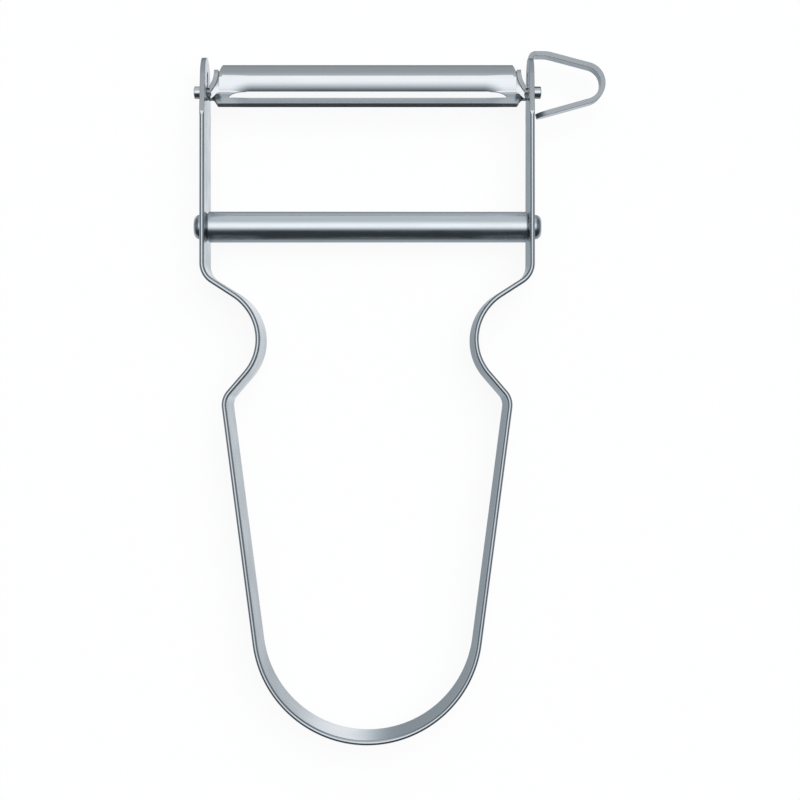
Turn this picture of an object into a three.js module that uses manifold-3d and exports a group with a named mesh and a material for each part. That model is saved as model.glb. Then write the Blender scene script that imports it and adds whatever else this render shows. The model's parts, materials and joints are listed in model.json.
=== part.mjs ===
// A stirrup-shaped vegetable peeler, all of stainless steel. One bent strip is the handle, the two arms
// and the eye cutter. A riveted spacer tube holds the arms apart, and a slotted blade swivels between them.
// Millimetres. The peeler lies flat on the strip's lower edge: X runs across the arms, Y from the end of the
// handle to the blade, Z up. The origin is on that edge, in the middle of the handle's end.
import * as THREE from 'three';
import { mergeVertices } from 'three/addons/utils/BufferGeometryUtils.js';
import Module from 'manifold-3d';

const wasm = await Module();
wasm.setup();

const degrees = THREE.MathUtils.degToRad;
const lerp = THREE.MathUtils.lerp;

// Strip stock
const STRIP_WIDTH = 10;
const STRIP_THICKNESS = 0.8;
const STRIP_EDGE_RADIUS = 0.25;
const SHEARED_EDGE_RADIUS = 0.08;

// Bends of the frame, right half: centres and centreline radii
const ARM_GAP = 52;
const HANDLE_END_RADIUS = 17.9;
const SHOULDER = { x: 23, y: 76.8, radius: 3.4 };
const GRIP_NOTCH = { x: 25.8, y: 64.5, radius: 8.5 };
const HIP = { x: 19.8, y: 54, radius: 2.9 };

// Arm heads
const HEAD_START = 101;
const HEAD_EDGE_RUN_OUT = 0.6;
const HEAD_NOSE_RADIUS = 4;
const HEAD_NOSE_CENTRE = 106.35;
const PIVOT = 104.75;
const PIVOT_BORE = 2.2;
const KEYHOLE_SLIT = 1.6;
const KEYHOLE_TOP = 108.1;

// Eye cutter, the tongue of the right head
const TONGUE_ROOT_WIDTH = 3.2;
const TONGUE_TIP_WIDTH = 2.7;
const TONGUE_TIP_LENGTH = 2.2;
const TONGUE_BEND_RADIUS = 0.8;
const TONGUE_EASE = { x: 28.4, radius: 5 };
const EYE_NOSE = { x: 35.1, y: 106.1, radius: 3 };
const EYE_TIP = { x: 27.3, y: 100.8 };

// Spacer and its rivet
const SPACER = 82.9;
const SPACER_DIAMETER = 5;
const SPACER_CHAMFER = 0.3;
const RIVET_SHANK = 3;
const RIVET_HOLE = 3.2;
const RIVET_HEAD_DIAMETER = 4;
const RIVET_HEAD_HEIGHT = 1.35;
const RIVET_HEAD_ROUND = 1;
const SEAT_GAP = 0.02;

// Blade: sheet, pressed section (headings from +Y towards +Z) and outline of the blank
const SHEET = 0.7;
const PLATE_TIP = { y: -2.35, z: 1.73 };
const WING_TOP = { y: 2.84, z: -0.333, heading: degrees(-4), radius: 1.85, turn: degrees(63) };
const MIDDLE_FORM = { plateHeading: degrees(-52), creaseRadius: 0.65, wingRadius: 5.45 };
const END_FORM = { plateHeading: degrees(-46), creaseRadius: 1.1, wingRadius: 10 };
const FORM_CHANGE = { start: 18.8, end: 22.8 };
const TOP_CHAMFER = { start: 23.6, end: 24.35, left: 3.7 };
const PLATE_CHAMFER = { start: 24.1, end: 25.3 };
const PLATE_ROLL_EDGE = 1.1;
const WING_ROLL_START = 24.2;
const PLATE_ROLL_START = 24.8;
const ROLL_END = 25.95;
const ROLL_STEADY = 0.78;
const ROLL_CLOSING = 8;
const JOURNAL_END = 28.15;
const JOURNAL_DIAMETER = 2;
const SEAM_ANGLE = degrees(14);

// Blade: slot and ground edge, heights from the pivot
const SLOT_END = 22.65;
const SLOT_BOTTOM = -0.92;
const SLOT_TOP = 0.25;
const SLOT_CURVE = 2.55;
const GRIND_END = 19.6;
const GRIND_RUN_OUT = 0.8;
const GRIND_EDGE = { y: 0.26, z: -0.45 };
const GRIND_HEADING = degrees(-40);
const GRIND_DEPTH = 1.2;

// Facets
const WIDE_ARC_STEP = degrees(5);
const TIGHT_ARC_STEP = degrees(10);
const WIDE_ARC = 5;
const ROUND_SIDES = 32;
const CORNER_STEPS = 4;
const NOSE_STEPS = 9;
const NOSE_LAST_ANGLE = degrees(84);
const PLATE_STEPS = 6;
const CREASE_STEPS = 2;
const WING_STEPS = 12;
const FORM_STEPS = 6;
const CHAMFER_STEPS = 4;
const ROLL_STEPS = 14;
const STEEPNESS_SPAN = 0.1;
const STEEPEST_CUT = 1.7;

const STEEL = { color: 0xc4c9cd, metalness: 1, roughness: 0.24 };
const BLADE_STEEL = { color: 0xcdd1d4, metalness: 1, roughness: 0.16 };

const X_AXIS = new THREE.Vector3(1, 0, 0);
const Y_AXIS = new THREE.Vector3(0, 1, 0);
const Z_AXIS = new THREE.Vector3(0, 0, 1);
const MID_HEIGHT = STRIP_WIDTH / 2;
const ARM_CENTRE = (ARM_GAP + STRIP_THICKNESS) / 2;
const CUT_THROUGH = 6;

// Places a section drawn in the YZ plane at a distance along X
function acrossAt(x, y = 0, z = 0) {
  return new THREE.Matrix4().makeBasis(Y_AXIS, Z_AXIS, X_AXIS).setPosition(x, y, z);
}

// Joins sections with equal numbers of points, anticlockwise to the direction of travel, into a closed skin
function loft(stations) {
  const count = stations[0].section.length;
  const corners = stations.flatMap(({ section, place }) =>
    section.map((point) => new THREE.Vector3(point.x, point.y, 0).applyMatrix4(place)));
  const faces = [];
  for (let ring = 0; ring + 1 < stations.length; ring++) {
    for (let i = 0; i < count; i++) {
      const here = ring * count + i;
      const next = ring * count + (i + 1) % count;
      faces.push(here, next, next + count, here, next + count, here + count);
    }
  }
  const last = (stations.length - 1) * count;
  for (const [a, b, c] of capFaces(stations[0].section)) {
    faces.push(a, c, b);
  }
  for (const [a, b, c] of capFaces(stations.at(-1).section)) {
    faces.push(last + a, last + b, last + c);
  }
  const geometry = new THREE.BufferGeometry().setFromPoints(corners);
  geometry.setIndex(faces);
  return geometry;
}

// Triangles that fill a section, all anticlockwise
function capFaces(section) {
  return THREE.ShapeUtils.triangulateShape(section, []).map((face) => {
    const area = THREE.ShapeUtils.area(face.map((i) => section[i]));
    return area > 0 ? face : face.toReversed();
  });
}

function toSolid(geometry) {
  const bare = geometry.clone();
  bare.deleteAttribute('normal');
  bare.deleteAttribute('uv');
  const merged = mergeVertices(bare);
  return new wasm.Manifold(new wasm.Mesh({
    numProp: 3,
    vertProperties: new Float32Array(merged.attributes.position.array),
    triVerts: new Uint32Array(merged.index.array),
  }));
}

// The first geometry with all the others cut out of it
function cut(geometry, tools) {
  const solid = tools.reduce((left, tool) => left.subtract(toSolid(tool)), toSolid(geometry));
  const { vertProperties, triVerts } = solid.getMesh();
  const result = new THREE.BufferGeometry();
  result.setAttribute('position', new THREE.BufferAttribute(vertProperties, 3));
  result.setIndex(new THREE.BufferAttribute(triVerts, 1));
  return result;
}

// Line of a strip that is led round a row of formers, as a belt is led past pulleys. A former's turn is
// 1 where the strip bends to the left and -1 to the right, and the first and last are points.
function bentLine(formers) {
  const headings = formers.slice(1).map((to, i) => {
    const from = formers[i];
    const bearing = Math.atan2(to.y - from.y, to.x - from.x);
    const span = Math.hypot(to.x - from.x, to.y - from.y);
    return bearing - Math.asin((to.turn * to.radius - from.turn * from.radius) / span);
  });
  const line = [{ ...formers[0], heading: headings[0] }];
  formers.slice(1, -1).forEach(({ x, y, radius, turn }, i) => {
    const fullTurn = 2 * Math.PI;
    const sweep = THREE.MathUtils.euclideanModulo(turn * (headings[i + 1] - headings[i]), fullTurn);
    const steps = Math.ceil(sweep / (radius > WIDE_ARC ? WIDE_ARC_STEP : TIGHT_ARC_STEP));
    for (let step = 0; step <= steps; step++) {
      const heading = headings[i] + turn * sweep * step / steps;
      line.push({
        x: x + turn * radius * Math.sin(heading),
        y: y - turn * radius * Math.cos(heading),
        heading,
      });
    }
  });
  line.push({ ...formers.at(-1), heading: headings.at(-1) });
  return line;
}

// A point that a bent line starts or ends at
function endPoint(x, y) {
  return { x, y, radius: 0, turn: 1 };
}

// Cross-section of the strip with rounded edges, thickness along x and width along y
function stripSection(halfWidth, edgeRadius) {
  const flat = STRIP_THICKNESS / 2 - edgeRadius;
  const side = halfWidth - edgeRadius;
  const quarter = Math.PI / 2;
  const outline = new THREE.Path();
  [[flat, side], [-flat, side], [-flat, -side], [flat, -side]].forEach(([x, y], corner) => {
    outline.absarc(x, y, edgeRadius, corner * quarter, (corner + 1) * quarter);
  });
  return outline.getPoints(1);
}

function stripStation({ x, y, heading }, halfWidth, edgeRadius) {
  const along = new THREE.Vector3(Math.cos(heading), Math.sin(heading), 0);
  const left = new THREE.Vector3(-along.y, along.x, 0);
  const place = new THREE.Matrix4().makeBasis(left, Z_AXIS, along).setPosition(x, y, MID_HEIGHT);
  return { section: stripSection(halfWidth, edgeRadius), place };
}

// Outline of an arm's head, from the strip's full width up to a given angle round the nose
function headOutline(lastAngle) {
  const reach = Math.hypot(MID_HEIGHT, HEAD_NOSE_CENTRE - HEAD_START);
  const bearing = Math.atan2(MID_HEIGHT, HEAD_NOSE_CENTRE - HEAD_START);
  const firstAngle = bearing - Math.asin(HEAD_NOSE_RADIUS / reach);
  const outline = [{ y: HEAD_START, halfWidth: MID_HEIGHT }];
  for (let step = 0; step <= NOSE_STEPS; step++) {
    const angle = lerp(firstAngle, lastAngle, step / NOSE_STEPS);
    outline.push({
      y: HEAD_NOSE_CENTRE + HEAD_NOSE_RADIUS * Math.sin(angle),
      halfWidth: HEAD_NOSE_RADIUS * Math.cos(angle),
    });
  }
  return outline;
}

function headStations(x, heading, lastAngle) {
  return headOutline(lastAngle).map(({ y, halfWidth }) =>
    stripStation({ x, y, heading }, halfWidth, SHEARED_EDGE_RADIUS));
}

// Keyhole through an arm's head: a round bore for the blade's journal and a slit towards the nose
function keyhole(x) {
  const bore = PIVOT_BORE / 2;
  const slit = KEYHOLE_SLIT / 2;
  const mouth = Math.asin(slit / bore);
  const outline = new THREE.Shape();
  outline.absarc(0, 0, bore, mouth, 2 * Math.PI - mouth);
  outline.absarc(KEYHOLE_TOP - slit - PIVOT, 0, slit, -Math.PI / 2, Math.PI / 2);
  const hole = new THREE.ExtrudeGeometry(outline, {
    depth: CUT_THROUGH,
    curveSegments: ROUND_SIDES / 2,
    bevelEnabled: false,
  });
  return hole.applyMatrix4(acrossAt(x - CUT_THROUGH / 2, PIVOT, MID_HEIGHT));
}

function rivetHole(x) {
  const hole = new THREE.CylinderGeometry(RIVET_HOLE / 2, RIVET_HOLE / 2, CUT_THROUGH, ROUND_SIDES);
  return hole.rotateZ(-Math.PI / 2).translate(x, SPACER, MID_HEIGHT);
}

// The strip from the left head round the handle to the right head, and on along the eye cutter
function makeFrameStrip() {
  const rightBends = [{ ...HIP, turn: 1 }, { ...GRIP_NOTCH, turn: -1 }, { ...SHOULDER, turn: 1 }];
  const leftBends = rightBends.map((bend) => ({ ...bend, x: -bend.x })).toReversed();
  const fullWidth = HEAD_START - HEAD_EDGE_RUN_OUT;
  const body = bentLine([
    endPoint(-ARM_CENTRE, fullWidth),
    ...leftBends,
    { x: 0, y: HANDLE_END_RADIUS, radius: HANDLE_END_RADIUS, turn: 1 },
    ...rightBends,
    endPoint(ARM_CENTRE, fullWidth),
  ]).map((point) => stripStation(point, MID_HEIGHT, STRIP_EDGE_RADIUS));

  const downward = -Math.PI / 2;
  const leftHead = headStations(-ARM_CENTRE, downward, NOSE_LAST_ANGLE).toReversed();
  const tongueAngle = Math.acos(TONGUE_ROOT_WIDTH / 2 / HEAD_NOSE_RADIUS);
  const rightHead = headStations(ARM_CENTRE, -downward, tongueAngle);
  return cut(loft([...leftHead, ...body, ...rightHead, ...tongueStations(tongueAngle)]), [
    keyhole(-ARM_CENTRE),
    keyhole(ARM_CENTRE),
    rivetHole(-ARM_CENTRE),
    rivetHole(ARM_CENTRE),
  ]);
}

// The narrow tongue that rises from the right head, folds outward and comes back to the arm in a loop
function tongueStations(rootAngle) {
  const root = HEAD_NOSE_CENTRE + HEAD_NOSE_RADIUS * Math.sin(rootAngle);
  const crest = root + TONGUE_BEND_RADIUS;
  const line = bentLine([
    endPoint(ARM_CENTRE, root - TONGUE_BEND_RADIUS),
    { x: ARM_CENTRE + TONGUE_BEND_RADIUS, y: root, radius: TONGUE_BEND_RADIUS, turn: -1 },
    { ...TONGUE_EASE, y: crest - TONGUE_EASE.radius, turn: -1 },
    { ...EYE_NOSE, turn: -1 },
    endPoint(EYE_TIP.x, EYE_TIP.y),
  ]).slice(2);
  const tip = line.pop();
  const stations = line.map((point, i) => {
    const halfWidth = lerp(TONGUE_ROOT_WIDTH, TONGUE_TIP_WIDTH, i / line.length) / 2;
    return stripStation(point, halfWidth, SHEARED_EDGE_RADIUS);
  });
  const tipHalf = TONGUE_TIP_WIDTH / 2;
  for (let step = 0; step <= NOSE_STEPS; step++) {
    const angle = NOSE_LAST_ANGLE * step / NOSE_STEPS;
    const back = TONGUE_TIP_LENGTH * (1 - Math.sin(angle));
    const point = {
      x: tip.x - back * Math.cos(tip.heading),
      y: tip.y - back * Math.sin(tip.heading),
      heading: tip.heading,
    };
    stations.push(stripStation(point, tipHalf * Math.cos(angle), SHEARED_EDGE_RADIUS));
  }
  return stations;
}

// A profile of radius and distance along X, turned about the spacer's axis
function turned(profile) {
  return new THREE.LatheGeometry(profile, ROUND_SIDES)
    .rotateZ(-Math.PI / 2)
    .translate(0, SPACER, MID_HEIGHT);
}

function makeSpacerTube() {
  const end = ARM_GAP / 2 - SEAT_GAP;
  const outside = SPACER_DIAMETER / 2;
  const bore = RIVET_HOLE / 2;
  return turned([
    new THREE.Vector2(bore, -end),
    new THREE.Vector2(outside - SPACER_CHAMFER, -end),
    new THREE.Vector2(outside, SPACER_CHAMFER - end),
    new THREE.Vector2(outside, end - SPACER_CHAMFER),
    new THREE.Vector2(outside - SPACER_CHAMFER, end),
    new THREE.Vector2(bore, end),
    new THREE.Vector2(bore, -end),
  ]);
}

// Shank through the tube with a flat-topped, rounded head on each arm
function makeSpacerRivet() {
  const seat = ARM_GAP / 2 + STRIP_THICKNESS + SEAT_GAP;
  const rim = RIVET_HEAD_DIAMETER / 2;
  const top = seat + RIVET_HEAD_HEIGHT;
  const head = new THREE.Path();
  head.moveTo(RIVET_SHANK / 2, seat);
  head.lineTo(rim, seat);
  head.absarc(rim - RIVET_HEAD_ROUND, top - RIVET_HEAD_ROUND, RIVET_HEAD_ROUND, 0, Math.PI / 2);
  head.lineTo(0, top);
  const rightHead = head.getPoints(CORNER_STEPS);
  const leftHead = rightHead.map(({ x, y }) => new THREE.Vector2(x, -y)).toReversed();
  return turned([...leftHead, ...rightHead]);
}

// Point at a distance along a line that leaves the origin and curves steadily through each run
function pointAlong(runs, startHeading, distance) {
  const point = new THREE.Vector2();
  let heading = startHeading;
  let left = distance;
  for (const { length, curve } of runs) {
    const step = Math.min(left, length);
    const bend = curve * step;
    const chord = bend === 0 ? step : 2 / curve * Math.sin(bend / 2);
    point.x += chord * Math.cos(heading + bend / 2);
    point.y += chord * Math.sin(heading + bend / 2);
    heading += bend;
    left -= step;
  }
  return point;
}

const ROLL_RADIUS = (JOURNAL_DIAMETER - SHEET) / 2;
const WING_ROLL_EDGE = ROLL_RADIUS * (2 * Math.PI - SEAM_ANGLE) - PLATE_ROLL_EDGE;

// Share of the way from one distance to another
function shareAlong(x, { start, end }) {
  return THREE.MathUtils.clamp((x - start) / (end - start), 0, 1);
}

// Unit direction of a heading, turned by some quarter turns to the left
function directionOf(heading, quarters = 0) {
  const angle = heading + quarters * Math.PI / 2;
  return new THREE.Vector2(Math.cos(angle), Math.sin(angle));
}

// The blade is one blank. The press bends it into a flat plate and a rounded wing that meet in a crease,
// softer near the ends. The crease's round touches the plate's plane and the wing's round. Each side is
// followed from the middle of the crease outward: lengths over the sheet, and how sharply it is curved.
function pressedForm(x) {
  const share = THREE.MathUtils.smoothstep(x, FORM_CHANGE.start, FORM_CHANGE.end);
  const plateHeading = lerp(MIDDLE_FORM.plateHeading, END_FORM.plateHeading, share);
  const radius = lerp(MIDDLE_FORM.creaseRadius, END_FORM.creaseRadius, share);
  const wingRadius = 1 / lerp(1 / MIDDLE_FORM.wingRadius, 1 / END_FORM.wingRadius, share);
  const wingCentre = new THREE.Vector2(WING_TOP.y, WING_TOP.z)
    .addScaledVector(directionOf(WING_TOP.heading, -1), wingRadius);
  const start = new THREE.Vector2(PLATE_TIP.y, PLATE_TIP.z)
    .addScaledVector(directionOf(plateHeading, 1), radius)
    .sub(wingCentre);
  const back = start.dot(directionOf(plateHeading));
  const plateLength = -back - Math.sqrt(back ** 2 - start.lengthSq() + (wingRadius + radius) ** 2);
  const centre = start.addScaledVector(directionOf(plateHeading), plateLength);
  const wingHeading = Math.atan2(-centre.x, centre.y);
  const heading = (plateHeading + wingHeading) / 2;
  const half = radius * (wingHeading - heading);
  return {
    heading,
    half,
    middle: wingCentre.add(centre).addScaledVector(directionOf(heading, -1), radius),
    plateRuns: [
      { length: half, curve: -1 / radius },
      { length: plateLength, curve: 0 },
    ],
    wingRuns: [
      { length: half, curve: 1 / radius },
      { length: wingRadius * (wingHeading - WING_TOP.heading), curve: -1 / wingRadius },
      { length: WING_TOP.radius * WING_TOP.turn, curve: -1 / WING_TOP.radius },
    ],
  };
}

// How far the blank reaches on the plate's and the wing's side of the crease, at a distance from the middle
function blankReach(x, { plateRuns, wingRuns }) {
  const total = (runs) => runs.reduce((sum, run) => sum + run.length, 0);
  const plate = lerp(total(plateRuns), PLATE_ROLL_EDGE, shareAlong(x, PLATE_CHAMFER));
  const chamfered = lerp(total(wingRuns), TOP_CHAMFER.left, shareAlong(x, TOP_CHAMFER));
  const neck = { start: TOP_CHAMFER.end, end: ROLL_END };
  const narrowed = lerp(TOP_CHAMFER.left, WING_ROLL_EDGE, shareAlong(x, neck));
  return { plate, wing: x < TOP_CHAMFER.end ? chamfered : narrowed };
}

// How far the sheet is rolled up: steadily over the neck, and shut just before the arm
function rolledShare(x, start) {
  const share = shareAlong(x, { start, end: ROLL_END });
  return lerp(share ** ROLL_CLOSING, share, ROLL_STEADY);
}

// Points over one side of the sheet, whose curves pass from the pressed ones to the roll's
function sidePoints(runs, heading, turn, rolled, distances) {
  const blended = runs.map(({ length, curve }) => (
    { length, curve: lerp(curve, turn / ROLL_RADIUS, rolled) }
  ));
  return distances.map((distance) => pointAlong(blended, heading, distance));
}

// Middle line of the formed sheet at a distance from the middle of the blade, in the pivot's YZ plane.
// The narrow ends are rolled into journals, the wing's side over the plate's.
function sheetLine(x) {
  const form = pressedForm(x);
  const { heading, half, plateRuns, wingRuns } = form;
  const { plate, wing } = blankReach(x, form);
  const wingRolled = rolledShare(x, WING_ROLL_START);
  const plateRolled = rolledShare(x, PLATE_ROLL_START);
  const spread = (from, to, steps) =>
    Array.from({ length: steps }, (_, i) => lerp(from, to, (i + 1) / steps));
  const plateSide = [...spread(0, half, CREASE_STEPS), ...spread(half, plate, PLATE_STEPS)];
  const wingSide = [0, ...spread(0, half, CREASE_STEPS), ...spread(half, wing, WING_STEPS)];
  const rolled = directionOf(heading, -1).multiplyScalar(ROLL_RADIUS);
  const middle = form.middle.lerp(rolled, wingRolled);
  return [
    ...sidePoints(plateRuns, heading + Math.PI, -1, plateRolled, plateSide).toReversed(),
    ...sidePoints(wingRuns, heading, 1, wingRolled, wingSide),
  ].map((point) => point.add(middle));
}

// Section of the sheet. Where the sheet runs steeply past the section, it is cut aslant and measures more.
function bladeSection(x) {
  const line = sheetLine(x);
  const inner = sheetLine(x - STEEPNESS_SPAN / 2);
  const outer = sheetLine(x + STEEPNESS_SPAN / 2);
  const halves = line.map((point, i) => {
    const before = line[Math.max(i - 1, 0)];
    const after = line[Math.min(i + 1, line.length - 1)];
    const along = after.clone().sub(before).normalize();
    const normal = new THREE.Vector2(-along.y, along.x);
    const steepness = outer[i].clone().sub(inner[i]).dot(normal) / STEEPNESS_SPAN;
    return normal.multiplyScalar(SHEET / 2 * Math.min(Math.hypot(1, steepness), STEEPEST_CUT));
  });
  const back = line.map((point, i) => point.clone().sub(halves[i]));
  const front = line.map((point, i) => point.clone().add(halves[i]));
  return [...back, ...front.toReversed()];
}

function bladeBlank() {
  const half = [];
  for (let step = 0; step <= FORM_STEPS; step++) {
    half.push(lerp(FORM_CHANGE.start, FORM_CHANGE.end, step / FORM_STEPS));
  }
  for (let step = 0; step < CHAMFER_STEPS; step++) {
    half.push(lerp(TOP_CHAMFER.start, WING_ROLL_START, step / CHAMFER_STEPS));
  }
  for (let step = 0; step <= ROLL_STEPS; step++) {
    half.push(lerp(WING_ROLL_START, ROLL_END, step / ROLL_STEPS));
  }
  half.push(ROLL_END + STEEPNESS_SPAN / 2, JOURNAL_END);
  const left = half.map((x) => -x).toReversed();
  return loft([...left, ...half].map((x) => (
    { section: bladeSection(Math.abs(x)), place: acrossAt(x) }
  )));
}

// Slot with a straight lower lip and an upper lip that runs down to it in a long curve at each end
function slotTool() {
  const height = SLOT_TOP - SLOT_BOTTOM;
  const outline = new THREE.Shape();
  outline.moveTo(-SLOT_END, SLOT_BOTTOM);
  outline.lineTo(SLOT_END, SLOT_BOTTOM);
  outline.absellipse(SLOT_END - SLOT_CURVE, SLOT_BOTTOM, SLOT_CURVE, height, 0, Math.PI / 2);
  outline.absellipse(SLOT_CURVE - SLOT_END, SLOT_BOTTOM, SLOT_CURVE, height, Math.PI / 2, Math.PI);
  return new THREE.ExtrudeGeometry(outline, {
    depth: CUT_THROUGH,
    curveSegments: ROUND_SIDES / 4,
    bevelEnabled: false,
  }).translate(0, 0, -CUT_THROUGH / 2);
}

// Grinding path behind the slot's upper lip, which lifts out of the sheet at both ends
function grindTool() {
  const edge = new THREE.Vector2(GRIND_EDGE.y, GRIND_EDGE.z);
  const corner = (forth, off) => edge.clone()
    .addScaledVector(directionOf(GRIND_HEADING), forth)
    .addScaledVector(directionOf(GRIND_HEADING, -1), off);
  const section = (lift) => [
    corner(-SHEET / 2, lift + SHEET),
    corner(GRIND_DEPTH, lift + SHEET),
    corner(GRIND_DEPTH, lift),
    corner(-SHEET / 2, lift),
  ];
  const clear = GRIND_END + GRIND_RUN_OUT;
  return loft([[-clear, SHEET], [-GRIND_END, 0], [GRIND_END, 0], [clear, SHEET]].map(([x, lift]) => (
    { section: section(lift), place: acrossAt(x) }
  )));
}

function makeBlade() {
  return cut(bladeBlank(), [slotTool(), grindTool()]).translate(0, PIVOT, MID_HEIGHT);
}

function piece(name, geometry, steel) {
  geometry.computeVertexNormals();
  const mesh = new THREE.Mesh(geometry, new THREE.MeshStandardMaterial(steel));
  mesh.name = name;
  return mesh;
}

const peeler = new THREE.Group();
peeler.add(piece('frame_strip', makeFrameStrip(), STEEL));
peeler.add(piece('spacer_tube', makeSpacerTube(), STEEL));
peeler.add(piece('spacer_rivet', makeSpacerRivet(), STEEL));
peeler.add(piece('blade', makeBlade(), BLADE_STEEL));

export default peeler;
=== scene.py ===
import json
import math

import bpy
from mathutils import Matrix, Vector


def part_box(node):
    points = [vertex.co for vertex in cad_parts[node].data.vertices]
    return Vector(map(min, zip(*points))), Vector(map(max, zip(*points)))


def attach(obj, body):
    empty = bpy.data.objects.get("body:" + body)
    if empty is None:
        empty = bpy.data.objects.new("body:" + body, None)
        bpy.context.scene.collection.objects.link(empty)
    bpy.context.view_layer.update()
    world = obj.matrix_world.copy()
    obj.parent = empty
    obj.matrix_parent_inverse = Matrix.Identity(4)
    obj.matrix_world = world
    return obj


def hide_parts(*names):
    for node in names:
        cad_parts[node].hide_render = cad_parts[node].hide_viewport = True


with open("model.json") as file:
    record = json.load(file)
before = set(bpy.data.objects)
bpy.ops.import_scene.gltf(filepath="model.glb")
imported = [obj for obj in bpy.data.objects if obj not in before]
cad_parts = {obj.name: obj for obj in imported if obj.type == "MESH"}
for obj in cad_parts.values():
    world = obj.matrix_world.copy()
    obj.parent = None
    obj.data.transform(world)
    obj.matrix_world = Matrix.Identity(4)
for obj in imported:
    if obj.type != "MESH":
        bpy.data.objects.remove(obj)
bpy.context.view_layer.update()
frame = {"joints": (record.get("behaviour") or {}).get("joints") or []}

MM = 0.001

# Viewpoint. The peeler lies flat and is seen from straight above, a little right of its middle, from
# close enough that the inner walls of both arms and of the handle show.
scene = bpy.context.scene
scene.view_settings.view_transform = "Standard"
camera = bpy.data.objects.new("camera", bpy.data.cameras.new("camera"))
camera.data.sensor_width = 36
camera.data.lens = 76.7
camera.location = Vector((5.26, 54.8, 282)) * MM
scene.collection.objects.link(camera)
scene.camera = camera


# Table and studio. A plain white table top under a big soft lamp, which leaves a faint shadow on it. The
# steel mirrors the studio instead: a bright ceiling, a pale wall beyond the blade, a dark room behind the
# handle and a pale ground below.
def add_node(tree, kind, inputs=None, **settings):
    """A node with its settings and inputs; an input is a value or another node's output."""
    node = tree.nodes.new(kind)
    for key, value in settings.items():
        setattr(node, key, value)
    for key, value in (inputs or {}).items():
        if isinstance(value, bpy.types.NodeSocket):
            tree.links.new(value, node.inputs[key])
        else:
            node.inputs[key].default_value = value
    return node


def maths(tree, operation, first, second=0.0):
    return add_node(tree, "ShaderNodeMath", {0: first, 1: second}, operation=operation).outputs[0]


def ranged(tree, value, span, levels, way="LINEAR"):
    """A level that passes from the first to the second while the value crosses the span."""
    return add_node(tree, "ShaderNodeMapRange", {
        "Value": value, "From Min": span[0], "From Max": span[1], "To Min": levels[0], "To Max": levels[1],
    }, interpolation_type=way).outputs[0]


table_size = 6.0
table_grey = (0.8, 0.8, 0.8, 1)
pure_white = (1, 1, 1, 1)
shadowless_share = 0.92
lamp_direction = Vector((0.3, 0.3, 1))
table_mesh = bpy.data.meshes.new("table")
table_mesh.from_pydata([(x * table_size / 2, y * table_size / 2, 0)
                        for x, y in ((-1, -1), (1, -1), (1, 1), (-1, 1))], [], [(0, 1, 2, 3)])
table = bpy.data.objects.new("table", table_mesh)
scene.collection.objects.link(table)
table_white = bpy.data.materials.new("table_white")
table_white.use_nodes = True
tree = table_white.node_tree
tree.nodes.clear()
matt = add_node(tree, "ShaderNodeBsdfDiffuse", {"Color": table_grey})
glow = add_node(tree, "ShaderNodeEmission", {"Color": pure_white, "Strength": 1.0})
path = add_node(tree, "ShaderNodeLightPath").outputs
shadowless = maths(tree, "MULTIPLY", path["Is Camera Ray"], shadowless_share)
top = add_node(tree, "ShaderNodeMixShader", {0: shadowless, 1: matt.outputs[0], 2: glow.outputs[0]})
mirrored = maths(tree, "MAXIMUM", path["Is Glossy Ray"], path["Is Transmission Ray"])
open_below = add_node(tree, "ShaderNodeBsdfTransparent")
surface = add_node(tree, "ShaderNodeMixShader", {0: mirrored, 1: top.outputs[0], 2: open_below.outputs[0]})
add_node(tree, "ShaderNodeOutputMaterial", {"Surface": surface.outputs[0]})
table_mesh.materials.append(table_white)
lamp = bpy.data.objects.new("lamp", bpy.data.lights.new("lamp", "SUN"))
lamp.data.energy = 2.7
lamp.data.angle = math.radians(60)
lamp.rotation_euler = lamp_direction.to_track_quat("Z", "Y").to_euler()
lamp.visible_glossy = False
scene.collection.objects.link(lamp)

# The studio's light by direction: levels, and the spans of the direction's rightward, onward or skyward
# share over which one level passes softly to the next
ceiling = {"level": 1.3, "behind": (-0.62, 0.02), "aside": (0.12, 0.6), "side_share": 0.14}
far_wall = {"drop": 0.64, "beyond": (0.19, 0.69)}
dark_room = 0.045
pool = {"level": 0.75, "left": (-0.1, 0.04), "right": (0.08, 0.3),
        "behind": (-0.2, -0.12), "beyond": (0.3, 0.6)}
ground = {"under": 0.36, "behind": 0.5, "beyond": 0.3, "sides": 0.75}
ground_edge = {"onward": (-0.3, 0.5), "aside": (0.25, 0.6), "steep": (-0.92, -0.75)}
horizon = (0.0, -0.8)
dim, bright = 0.25, 1.1
dim_tint = (0.88, 1.015, 1.12)
bright_tint = (0.97, 0.996, 1.025)
studio = bpy.data.worlds.new("studio")
scene.world = studio
studio.use_nodes = True
tree = studio.node_tree
tree.nodes.clear()
direction = add_node(tree, "ShaderNodeTexCoord")
parts = add_node(tree, "ShaderNodeSeparateXYZ", {0: direction.outputs["Generated"]})
rightward, onward, skyward = parts.outputs
sidelong = maths(tree, "ABSOLUTE", rightward)


def eased(value, span, levels):
    return ranged(tree, value, span, levels, "SMOOTHSTEP")


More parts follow.
